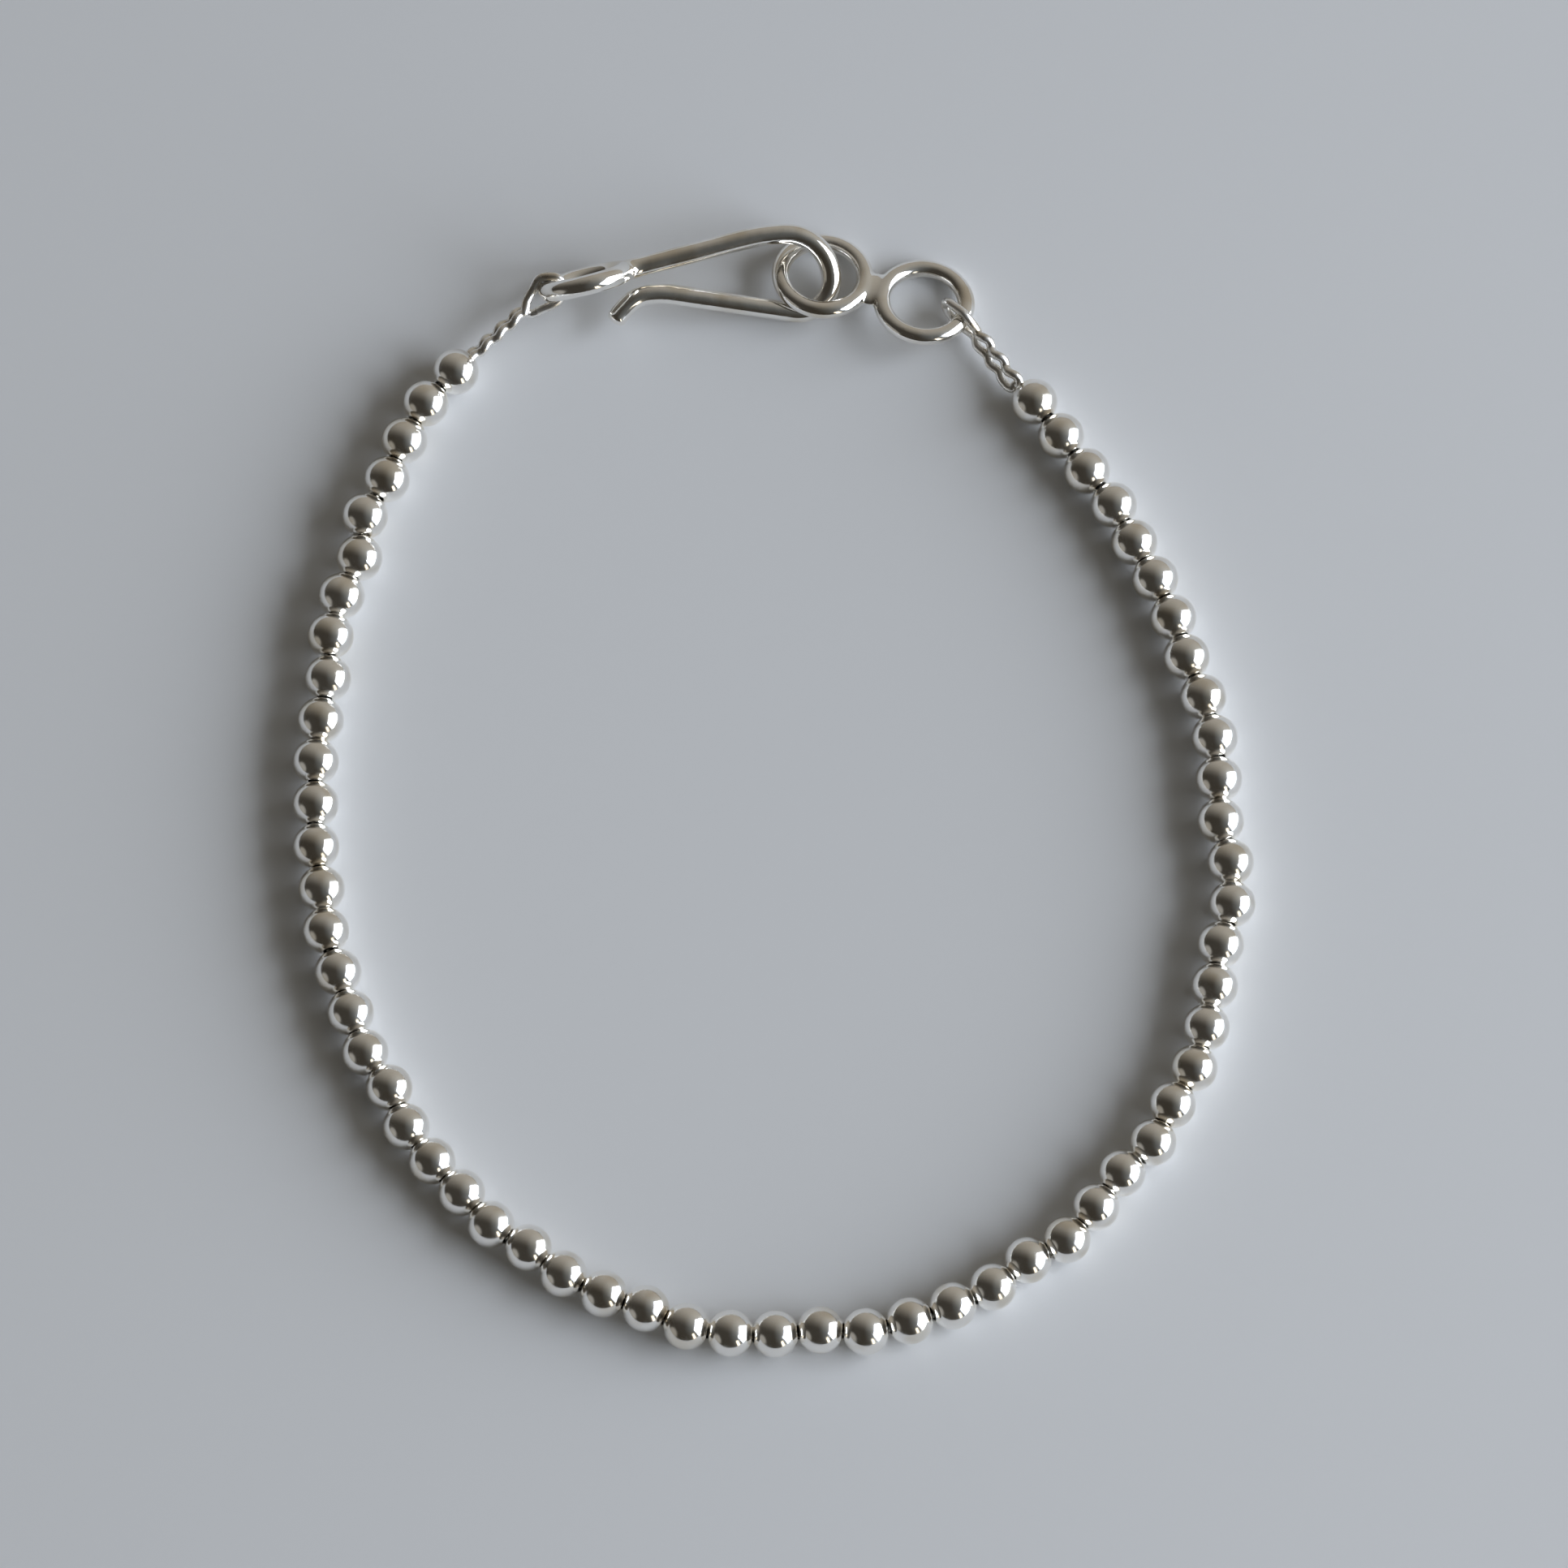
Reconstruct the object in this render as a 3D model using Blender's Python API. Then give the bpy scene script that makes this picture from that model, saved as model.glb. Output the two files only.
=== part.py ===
"""Beaded silver bracelet, fastened by a wire hook through a figure-eight ring.

Metres, +Z up. The bracelet lies on a surface at z = 0, with the clasp at the +Y side
and the hook's eye towards -X. The origin is the middle of its footprint.
"""
import math
from typing import NamedTuple

import bmesh
import bpy
from mathutils import Matrix, Vector

UP = Vector((0.0, 0.0, 1.0))

# Gap left between pieces that touch on the real bracelet
CLEARANCE = 0.0003

# Beads
BEAD_DIAMETER = 0.0025
BEAD_BORE = 0.0009
BEAD_PLAY = 0.00003
BORE_DEPTH = 0.0006
BEAD_SIDES = 12
# Stations along half a bead, as shares of its half length: the end of its flat belt and its shoulder
BELT_SHARE = 0.26
SHOULDER_SHARE = 0.72

# The string's route in plan, from the hook's end round to the ring's end
STRING_ROUTE = (
    (-0.0162, 0.0244),
    (-0.0198, 0.0195),
    (-0.0219, 0.0151),
    (-0.0231, 0.0106),
    (-0.0241, 0.0035),
    (-0.0243, -0.0036),
    (-0.0230, -0.0106),
    (-0.0205, -0.0171),
    (-0.0165, -0.0227),
    (-0.0111, -0.0272),
    (-0.0044, -0.0300),
    (0.0026, -0.0303),
    (0.0096, -0.0289),
    (0.0154, -0.0252),
    (0.0201, -0.0199),
    (0.0231, -0.0136),
    (0.0244, -0.0068),
    (0.0240, -0.0020),
    (0.0231, 0.0048),
    (0.0206, 0.0116),
    (0.0171, 0.0178),
    (0.0137, 0.0228),
)
ROUTE_STEPS = 24

# Hook, bent from one wire in its own plane
HOOK_WIRE = 0.0010
HOOK_SIDES = 8
HOOK_TIP = 0.0008
HOOK_TIP_RADIUS = 0.0022
HOOK_TIP_TURN = 56.5
HOOK_ARM = 0.0072
HOOK_ARM_SLOPE = 8.7
HOOK_BEND_RADIUS = 0.00178
HOOK_CROWN_RADIUS = 0.0025
HOOK_SWEEP_RADIUS = 0.0110
HOOK_SWEEP_TURN = 12.0
HOOK_SHANK = 0.0066
HOOK_SHANK_SLOPE = 14.3
# Centre of the hook's bend in plan
HOOK_PLACE = (0.0015, 0.0287)
# Largest turn between two points of a bend, in degrees
BEND_STEP = 9.0

# Eye soldered to the end of the hook's shank, standing on edge and leaning towards -Y
EYE_DIAMETER = 0.0054
EYE_LEAN = 27.0
EYE_STEPS = 20
EYE_SOLDER = 0.0014
SOLDER_SWELL = 0.00012

# Figure-eight ring: two rings of wire soldered side by side
RING_WIRE = 0.00085
RING_DIAMETER = 0.00545
RING_GAP = 0.00025
RING_SIDES = 6
RING_STEPS = 24
RING_TURN = -15.5
WEB_WIDTH = 0.0017
# Place of the first ring's centre, from the centre of the hook's bend
RING_SLIP = (0.0013, 0.0004)
# Share of the hook's width, and of the ring's diameter, that lies between the places where their wires cross
HOOK_CROSSING_SHARE = 0.65
RING_CROSSING_SHARE = 0.95

# Loops of fine wire at the two ends of the string, each closed by a twist
LOOP_WIRE = 0.0005
LOOP_SIDES = 6
LOOP_STEPS = 12
LOOP_REACH = 0.0016
STRAND_GAP = 0.00004
TWIST_PITCH = 0.0021
TWIST_STEPS = 14
# How far each loop's root stands off the straight line from the string to the ring that it holds
HOOK_LOOP_BOW = -0.00012
RING_LOOP_BOW = 0.00035


class Leg(NamedTuple):
    """One straight length of a bent wire, and the radius and turn in degrees of the bend that ends it."""

    straight: float
    radius: float
    turn: float


class WireRing(NamedTuple):
    """A closed ring of round wire: its centre, two directions in its plane, radius and wire."""

    centre: Vector
    along: Vector
    across: Vector
    radius: float
    wire: float


def clear_scene():
    """Remove every object that the file opened with."""
    for old in list(bpy.data.objects):
        bpy.data.objects.remove(old, do_unlink=True)


def silver(name, colour, roughness):
    """Plain metal material of one piece."""
    material = bpy.data.materials.new(name)
    material.use_nodes = True
    shader = material.node_tree.nodes["Principled BSDF"]
    shader.inputs["Base Color"].default_value = (*colour, 1.0)
    shader.inputs["Metallic"].default_value = 1.0
    shader.inputs["Roughness"].default_value = roughness
    return material


def swept_mesh(name, rings, closed=False):
    """Skin over rings of points with equal counts, closed on itself or capped at both ends."""
    mesh = bpy.data.meshes.new(name)
    work = bmesh.new()
    loops = [[work.verts.new(point) for point in ring] for ring in rings]
    sides = len(loops[0])
    spans = len(loops) if closed else len(loops) - 1
    for index in range(spans):
        near = loops[index]
        far = loops[(index + 1) % len(loops)]
        for side in range(sides):
            beside = (side + 1) % sides
            work.faces.new((near[side], near[beside], far[beside], far[side]))
    if not closed:
        work.faces.new(loops[0])
        work.faces.new(loops[-1])
    bmesh.ops.recalc_face_normals(work, faces=work.faces)
    work.to_mesh(mesh)
    work.free()
    mesh.shade_smooth()
    mesh.set_sharp_from_angle(angle=math.radians(50.0))
    return mesh


def piece(name, mesh, material):
    """Named object of one mesh and material."""
    mesh.materials.append(material)
    made = bpy.data.objects.new(name, mesh)
    bpy.context.scene.collection.objects.link(made)
    return made


def fuse(base, others):
    """Unite a piece with helper solids, which stay in the file as hidden wire shapes."""
    for other in others:
        other.hide_render = True
        other.display_type = "WIRE"
        union = base.modifiers.new("fuse_" + other.name, "BOOLEAN")
        union.operation = "UNION"
        union.solver = "EXACT"
        union.object = other


def solder(name, centre, axes, size, material):
    """Small rounded lump of solder over a joint, with its three widths along three axes."""
    mesh = bpy.data.meshes.new(name)
    work = bmesh.new()
    bmesh.ops.create_uvsphere(work, u_segments=8, v_segments=6, radius=0.5)
    turn = Matrix(axes).transposed().to_4x4()
    work.transform(Matrix.Translation(centre) @ turn @ Matrix.Diagonal((*size, 1.0)))
    work.to_mesh(mesh)
    work.free()
    return piece(name, mesh, material)


def smooth_route(points):
    """Points along a centripetal Catmull-Rom curve through the given plan points."""
    knots = [Vector((x, y, 0.0)) for x, y in points]
    knots.insert(0, 2.0 * knots[0] - knots[1])
    knots.append(2.0 * knots[-1] - knots[-2])
    route = []
    for first in range(len(knots) - 3):
        p0, p1, p2, p3 = knots[first:first + 4]
        t1 = math.sqrt((p1 - p0).length)
        t2 = t1 + math.sqrt((p2 - p1).length)
        t3 = t2 + math.sqrt((p3 - p2).length)
        for step in range(ROUTE_STEPS):
            t = t1 + (t2 - t1) * step / ROUTE_STEPS
            a1 = p0.lerp(p1, t / t1)
            a2 = p1.lerp(p2, (t - t1) / (t2 - t1))
            a3 = p2.lerp(p3, (t - t2) / (t3 - t2))
            b1 = a1.lerp(a2, t / t2)
            b2 = a2.lerp(a3, (t - t1) / (t3 - t1))
            route.append(b1.lerp(b2, (t - t1) / (t2 - t1)))
    route.append(knots[-2])
    return route


def route_length(route):
    """Length of a route from end to end."""
    return sum((b - a).length for a, b in zip(route, route[1:]))


def route_point(route, distance):
    """Place on a route at a distance from its start."""
    for a, b in zip(route, route[1:]):
        step = (b - a).length
        if distance <= step:
            return a.lerp(b, distance / step)
        distance -= step
    return route[-1]


def bead_ring(centre, heading, radius):
    """Ring of a bead across a level heading, whose lowest side is flat and level."""
    across = UP.cross(heading).normalized()
    corner = radius / math.cos(math.pi / BEAD_SIDES)
    angles = [2.0 * math.pi * (side + 0.5) / BEAD_SIDES for side in range(BEAD_SIDES)]
    return [centre + corner * (math.cos(angle) * across + math.sin(angle) * UP) for angle in angles]


def bead_string(material):
    """All the beads on their wire, touching end to end, and the two points where the string ends."""
    radius = BEAD_DIAMETER / 2.0
    bore = BEAD_BORE / 2.0
    half_length = math.sqrt(radius ** 2 - bore ** 2)
    route = smooth_route(STRING_ROUTE)
    length = route_length(route)
    count = round(length / (2.0 * half_length + BEAD_PLAY))
    joints = [route_point(route, length * index / count) + radius * UP for index in range(count + 1)]
    belt = BELT_SHARE * half_length
    shoulder = SHOULDER_SHARE * half_length
    shoulder_radius = math.sqrt(radius ** 2 - shoulder ** 2)
    stations = ((-shoulder, shoulder_radius), (-belt, radius), (belt, radius), (shoulder, shoulder_radius))
    headings = [(end - start).normalized() for start, end in zip(joints, joints[1:])]
    rings = [bead_ring(joints[0] + BORE_DEPTH * headings[0], headings[0], bore)]
    before = headings[0]
    for start, end, heading in zip(joints, joints[1:], headings):
        rings.append(bead_ring(start, before + heading, bore))
        for offset, station_radius in stations:
            rings.append(bead_ring((start + end) / 2.0 + offset * heading, heading, station_radius))
        before = heading
    rings.append(bead_ring(joints[-1], before, bore))
    rings.append(bead_ring(joints[-1] - BORE_DEPTH * before, before, bore))
    piece("bead_string", swept_mesh("bead_string", rings), material)
    return joints[0], joints[-1]


def bent_path(heading, legs):
    """Points along a wire bent in a plane, and the centre of each bend."""
    place = Vector((0.0, 0.0))
    angle = math.radians(heading)
    path = [place.copy()]
    centres = []
    for leg in legs:
        if leg.straight > 0.0:
            place = place + leg.straight * Vector((math.cos(angle), math.sin(angle)))
            path.append(place.copy())
        radius = math.copysign(leg.radius, leg.turn)
        centre = place + radius * Vector((-math.sin(angle), math.cos(angle)))
        centres.append(centre)
        steps = math.ceil(abs(leg.turn) / BEND_STEP)
        for _ in range(steps):
            angle += math.radians(leg.turn / steps)
            place = centre + radius * Vector((math.sin(angle), -math.cos(angle)))
            path.append(place.copy())
    return path, centres


def wire_section(centre, first, second, wire, angles):
    """One ring of points round a wire, in the plane of two directions."""
    return [centre + wire / 2.0 * (math.cos(angle) * first + math.sin(angle) * second) for angle in angles]


def wire_rings(path, wire, sides, normal):
    """Rings of a round wire along a path, carried along it without twist."""
    ways = [(b - a).normalized() for a, b in zip(path, path[1:])]
    tangents = [ways[0]] + [(a + b).normalized() for a, b in zip(ways, ways[1:])] + [ways[-1]]
    angles = [2.0 * math.pi * side / sides for side in range(sides)]
    rings = []
    first = normal
    for point, tangent in zip(path, tangents):
        first = (first - first.dot(tangent) * tangent).normalized()
        second = tangent.cross(first)
        rings.append(wire_section(point, first, second, wire, angles))
    return rings


def rounded_end(ring, centre, outward):
    """Two smaller rings that round off the end of a wire."""
    radius = (ring[0] - centre).length
    rings = []
    for degrees in (65.0, 35.0):
        angle = math.radians(degrees)
        middle = centre + radius * math.sin(angle) * outward
        rings.append([middle + math.cos(angle) * (point - centre) for point in ring])
    return rings


def closed_wire_rings(ring, sides, steps):
    """Rings of points round the wire of a closed ring."""
    normal = ring.along.cross(ring.across)
    turns = [2.0 * math.pi * side / sides for side in range(sides)]
    rings = []
    for step in range(steps):
        angle = 2.0 * math.pi * step / steps
        outward = math.cos(angle) * ring.along + math.sin(angle) * ring.across
        centre = ring.centre + ring.radius * outward
        rings.append(wire_section(centre, outward, normal, ring.wire, turns))
    return rings


def lowest(rings):
    """Height of the lowest point of a set of rings."""
    return min(point.z for ring in rings for point in ring)


def hook_outline():
    """The hook's wire in its own plane, from its tip to the end of its shank, and the shank's direction.

    The centre of the hook's bend is at (0, 0), and the shank runs towards -X.
    """
    legs = (
        Leg(HOOK_TIP, HOOK_TIP_RADIUS, -HOOK_TIP_TURN),
        Leg(HOOK_ARM, HOOK_BEND_RADIUS, 90.0 + HOOK_ARM_SLOPE),
        Leg(0.0, HOOK_CROWN_RADIUS, 90.0 + HOOK_SHANK_SLOPE - HOOK_SWEEP_TURN),
        Leg(0.0, HOOK_SWEEP_RADIUS, HOOK_SWEEP_TURN),
    )
    path, centres = bent_path(HOOK_TIP_TURN - HOOK_ARM_SLOPE, legs)
    slope = math.radians(HOOK_SHANK_SLOPE)
    shank_way = Vector((-math.cos(slope), -math.sin(slope)))
    path.append(path[-1] + HOOK_SHANK * shank_way)
    return [point - centres[1] for point in path], shank_way


def hook_turn(eye_place, eye_radius):
    """Rotation of the hook's plane, from its bend on the surface up to its eye on edge."""
    width = HOOK_BEND_RADIUS + HOOK_CROWN_RADIUS
    lean = math.asin((RING_WIRE + CLEARANCE) / (width * HOOK_CROSSING_SHARE))
    eye_height = eye_radius * math.cos(math.radians(EYE_LEAN))
    bend_drop = HOOK_BEND_RADIUS * math.sin(lean)
    pitch = math.asin((eye_height - bend_drop - eye_place.y * math.sin(lean)) / abs(eye_place.x))
    return Matrix.Rotation(lean, 3, "X") @ Matrix.Rotation(pitch, 3, "Y")


def hook_with_eye(material):
    """The hook and its soldered eye as one solid that rests on the surface. Returns the eye's ring."""
    outline, shank_way = hook_outline()
    eye_radius = (EYE_DIAMETER - HOOK_WIRE) / 2.0
    eye_place = outline[-1] + eye_radius * shank_way
    turn = hook_turn(eye_place, eye_radius)
    along = turn @ shank_way.to_3d()
    lean = math.radians(EYE_LEAN)
    upright = Vector((0.0, -math.sin(lean), math.cos(lean)))
    upright = (upright - upright.dot(along) * along).normalized()

    path = [turn @ point.to_3d() for point in outline]
    wire = wire_rings(path, HOOK_WIRE, HOOK_SIDES, turn @ UP)
    eye = WireRing(turn @ eye_place.to_3d(), along, upright, eye_radius, HOOK_WIRE)
    drop = min(lowest(wire), lowest(closed_wire_rings(eye, HOOK_SIDES, EYE_STEPS)))
    place = Vector((*HOOK_PLACE, -drop))
    wire = [[point + place for point in ring] for ring in wire]
    eye = eye._replace(centre=eye.centre + place)

    tip_way = (path[0] - path[1]).normalized()
    rings = rounded_end(wire[0], path[0] + place, tip_way) + wire
    hook = piece("hook", swept_mesh("hook", rings), material)
    eye_mesh = swept_mesh("eye_ring", closed_wire_rings(eye, HOOK_SIDES, EYE_STEPS), closed=True)
    joint = eye.centre - (eye_radius + HOOK_WIRE / 2.0) * along
    thick = HOOK_WIRE + SOLDER_SWELL
    axes = (along, upright, along.cross(upright))
    lump = solder("eye_solder", joint, axes, (EYE_SOLDER, thick, thick), material)
    fuse(hook, (piece("eye_ring", eye_mesh, material), lump))
    return eye


def figure_eight_ring(material):
    """Two soldered rings, the first round the hook's bend, with their far sides on the surface.

    Returns the second ring, which the string's wire holds.
    """
    radius = (RING_DIAMETER - RING_WIRE) / 2.0
    lean = math.asin((HOOK_WIRE + CLEARANCE) / (2.0 * radius * RING_CROSSING_SHARE))
    turn = math.radians(RING_TURN)
    along = Vector((math.cos(turn), math.sin(turn), 0.0))
    across = math.cos(lean) * UP.cross(along) - math.sin(lean) * UP
    height = radius * math.sin(lean) + RING_WIRE / 2.0
    centre = Vector((HOOK_PLACE[0] + RING_SLIP[0], HOOK_PLACE[1] + RING_SLIP[1], height))
    spacing = RING_DIAMETER + RING_GAP
    first = WireRing(centre, along, across, radius, RING_WIRE)
    second = first._replace(centre=centre + spacing * along)
    mesh = swept_mesh("figure_eight_ring", closed_wire_rings(first, RING_SIDES, RING_STEPS), closed=True)
    other_mesh = swept_mesh("second_ring", closed_wire_rings(second, RING_SIDES, RING_STEPS), closed=True)
    web_size = (RING_GAP + 1.6 * RING_WIRE, WEB_WIDTH, 0.9 * RING_WIRE)
    axes = (along, across, along.cross(across))
    web = solder("ring_solder", centre + spacing / 2.0 * along, axes, web_size, material)
    fuse(piece("figure_eight_ring", mesh, material), (piece("second_ring", other_mesh, material), web))
    return second


def twisted_strand(root, end, first_side):
    """One strand of a twisted pair, from the root to the end of the twist."""
    axis = (end - root).normalized()
    length = (end - root).length
    turns = length / TWIST_PITCH
    steps = round(turns * TWIST_STEPS)
    side = (first_side - first_side.dot(axis) * axis).normalized()
    third = axis.cross(side)
    points = []
    for step in range(1, steps + 1):
        share = step / steps
        angle = 2.0 * math.pi * turns * share
        offset = math.cos(angle) * side + math.sin(angle) * third
        points.append(root + share * length * axis + (LOOP_WIRE + STRAND_GAP) / 2.0 * offset)
    return points


def wire_loop(name, string_end, held, bow, material):
    """Fine wire that leaves the string, twists on itself and loops round the wire of a held ring."""
    root = string_end
    for _ in range(2):
        aim = root - held.centre
        towards = (aim.dot(held.along) * held.along + aim.dot(held.across) * held.across).normalized()
        bight = held.centre + held.radius * towards
        line = (string_end - bight).normalized()
        root = bight + LOOP_REACH * line + bow * UP.cross(line).normalized()
    back = (root - bight).normalized()
    normal = held.along.cross(held.across)
    side = (normal - normal.dot(back) * back).normalized()
    width = (held.wire + LOOP_WIRE) / 2.0 + CLEARANCE
    offset = (LOOP_WIRE + STRAND_GAP) / 2.0
    opening = math.asin((width - offset) / (root - bight).length)
    bend = []
    for step in range(LOOP_STEPS + 1):
        angle = (math.pi + 2.0 * opening) * step / LOOP_STEPS - opening
        bend.append(bight + width * (math.cos(angle) * side - math.sin(angle) * back))
    end = string_end - (CLEARANCE + LOOP_WIRE / 2.0) * (string_end - root).normalized()
    going = twisted_strand(root, end, side)
    coming = twisted_strand(root, end, -side)
    path = going[::-1] + [root + offset * side] + bend + [root - offset * side] + coming
    rings = wire_rings(path, LOOP_WIRE, LOOP_SIDES, back.cross(side))
    piece(name, swept_mesh(name, rings), material)


def main():
    """Build every piece of the bracelet."""
    clear_scene()
    bead_silver = silver("bead_silver", (0.86, 0.84, 0.80), 0.12)
    hook_silver = silver("hook_silver", (0.84, 0.82, 0.78), 0.16)
    ring_silver = silver("ring_silver", (0.85, 0.83, 0.79), 0.16)
    loop_silver = silver("loop_silver", (0.80, 0.78, 0.74), 0.20)
    hook_end, ring_end = bead_string(bead_silver)
    eye = hook_with_eye(hook_silver)
    second_ring = figure_eight_ring(ring_silver)
    wire_loop("hook_end_wire_loop", hook_end, eye, HOOK_LOOP_BOW, loop_silver)
    wire_loop("ring_end_wire_loop", ring_end, second_ring, RING_LOOP_BOW, loop_silver)


main()
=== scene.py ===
"""Looks of a beaded silver bracelet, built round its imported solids.

Metres, +Z up. The bracelet lies on a pale floor at z = 0, with its clasp at the +Y side
and the hook's eye towards -X.
"""

import logging
import math
import random
from collections.abc import Callable, Iterator, Sequence
from contextlib import contextmanager
from dataclasses import dataclass, field, replace
from enum import Enum

import bmesh
import bpy
from mathutils import Matrix, Vector


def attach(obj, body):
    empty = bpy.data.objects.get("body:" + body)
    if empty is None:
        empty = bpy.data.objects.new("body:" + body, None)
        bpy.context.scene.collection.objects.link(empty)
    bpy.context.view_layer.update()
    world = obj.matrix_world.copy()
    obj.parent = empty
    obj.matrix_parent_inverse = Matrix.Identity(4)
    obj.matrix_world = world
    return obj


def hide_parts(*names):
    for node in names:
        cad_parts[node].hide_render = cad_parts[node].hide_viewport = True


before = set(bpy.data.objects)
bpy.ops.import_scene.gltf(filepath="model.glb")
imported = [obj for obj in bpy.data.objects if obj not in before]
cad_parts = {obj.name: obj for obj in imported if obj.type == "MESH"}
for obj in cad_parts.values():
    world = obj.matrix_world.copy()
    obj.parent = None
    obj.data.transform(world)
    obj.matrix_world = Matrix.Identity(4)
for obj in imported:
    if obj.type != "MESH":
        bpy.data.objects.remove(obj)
log = logging.getLogger("bracelet")

UP = Vector((0.0, 0.0, 1.0))
# Drawn wire: how finely it is rounded, the share of its width under which points are merged, and the
# largest angle between faces that is shaded smooth, in degrees
WIRE_ROUNDNESS = 6
MERGE_SHARE = 0.001
SMOOTH_ANGLE = 50.0


# Workbench: small steps that every piece is made with


def deselect() -> None:
    """Leave object mode with nothing selected."""
    if bpy.context.object and bpy.context.object.mode != "OBJECT":
        bpy.ops.object.mode_set(mode="OBJECT")
    bpy.ops.object.select_all(action="DESELECT")


def take(*pieces: bpy.types.Object) -> None:
    """Select only these pieces, the first of them active."""
    deselect()
    for piece in pieces:
        piece.select_set(True)
    bpy.context.view_layer.objects.active = pieces[0]


@contextmanager
def editing(piece: bpy.types.Object) -> Iterator[bmesh.types.BMesh]:
    """Hold one piece in edit mode with nothing selected.

    Args:
        piece: The piece to edit.

    Yields:
        Its mesh in edit mode.
    """
    take(piece)
    bpy.ops.object.mode_set(mode="EDIT")
    bpy.ops.mesh.select_all(action="DESELECT")
    yield bmesh.from_edit_mesh(piece.data)
    bpy.ops.object.mode_set(mode="OBJECT")


def pick(piece: bpy.types.Object, wanted: Callable[[Vector], bool]) -> None:
    """Select vertices of a piece in edit mode by their place, with the edges and faces between them.

    Args:
        piece: The piece in edit mode.
        wanted: Tells from a vertex's place whether it is selected.
    """
    mesh = bmesh.from_edit_mesh(piece.data)
    bpy.ops.mesh.select_all(action="DESELECT")
    for vert in mesh.verts:
        vert.select_set(wanted(vert.co))
    mesh.select_flush(True)
    bmesh.update_edit_mesh(piece.data)


def settle(piece: bpy.types.Object) -> None:
    """Put a piece's place, turn and scale into its mesh."""
    take(piece)
    bpy.ops.object.transform_apply(location=True, rotation=True, scale=True)


def modify(piece: bpy.types.Object, kind: str, **settings: object) -> None:
    """Add one modifier to a piece, set it and apply it.

    Args:
        piece: The piece to change.
        kind: Blender's name for the modifier.
        **settings: Values of the modifier's own settings.
    """
    take(piece)
    bpy.ops.object.modifier_add(type=kind)
    modifier = piece.modifiers[-1]
    for name, value in settings.items():
        setattr(modifier, name, value)
    bpy.ops.object.modifier_apply(modifier=modifier.name)


def join(pieces: Sequence[bpy.types.Object], name: str) -> bpy.types.Object:
    """Join pieces into one.

    Args:
        pieces: The pieces, of which the first stays.
        name: Name of the joined piece.

    Returns:
        The joined piece.
    """
    take(*pieces)
    if len(pieces) > 1:
        bpy.ops.object.join()
    whole = bpy.context.object
    whole.name = name
    whole.data.name = name
    return whole


def ahead(heading: float) -> Vector:
    """Level direction of a heading in radians."""
    return Vector((math.cos(heading), math.sin(heading), 0.0))


def left_of(heading: float) -> Vector:
    """Level direction to the left of a heading in radians."""
    return Vector((-math.sin(heading), math.cos(heading), 0.0))


def smooth_line(points: Sequence[Vector], steps: int, closed: bool = False) -> list[Vector]:
    """Points along a centripetal curve through the given ones.

    Args:
        points: Places that the curve passes through.
        steps: How many points to make between two of them.
        closed: Whether the curve runs back to its start.

    Returns:
        The points, the last of the given ones included unless the curve is closed.
    """
    if closed:
        knots = [points[-1], *points, points[0], points[1]]
    else:
        knots = [2.0 * points[0] - points[1], *points, 2.0 * points[-1] - points[-2]]
    line = []
    for p0, p1, p2, p3 in zip(knots, knots[1:], knots[2:], knots[3:]):
        t1 = math.sqrt((p1 - p0).length)
        t2 = t1 + math.sqrt((p2 - p1).length)
        t3 = t2 + math.sqrt((p3 - p2).length)
        for step in range(steps):
            t = t1 + (t2 - t1) * step / steps
            a1 = p0.lerp(p1, t / t1)
            a2 = p1.lerp(p2, (t - t1) / (t2 - t1))
            a3 = p2.lerp(p3, (t - t2) / (t3 - t2))
            b1 = a1.lerp(a2, t / t2)
            b2 = a2.lerp(a3, (t - t1) / (t3 - t1))
            line.append(b1.lerp(b2, (t - t1) / (t2 - t1)))
    if not closed:
        line.append(knots[-2])
    return line


def drawn_wire(name: str, line: Sequence[Vector], width: float) -> bpy.types.Object:
    """Round wire along a line, drawn as a curve and made a mesh.

    Args:
        name: Name of the piece.
        line: Points of the wire's middle.
        width: The wire's diameter.

    Returns:
        The wire as a mesh with capped ends.
    """
    deselect()
    bpy.ops.curve.primitive_bezier_curve_add(location=(0.0, 0.0, 0.0))
    wire = bpy.context.object
    curve = wire.data
    curve.splines.clear()
    spline = curve.splines.new("POLY")
    spline.points.add(len(line) - 1)
    for point, place in zip(spline.points, line):
        point.co = (*place, 1.0)
    curve.dimensions = "3D"
    curve.bevel_depth = width / 2.0
    curve.bevel_resolution = WIRE_ROUNDNESS
    curve.use_fill_caps = True
    bpy.ops.object.convert(target="MESH")
    wire = bpy.context.object
    wire.name = name
    with editing(wire):
        bpy.ops.mesh.select_all(action="SELECT")
        bpy.ops.mesh.remove_doubles(threshold=width * MERGE_SHARE)
        bpy.ops.mesh.normals_make_consistent(inside=False)
    bpy.ops.object.shade_smooth_by_angle(angle=math.radians(SMOOTH_ANGLE))
    return wire


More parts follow.
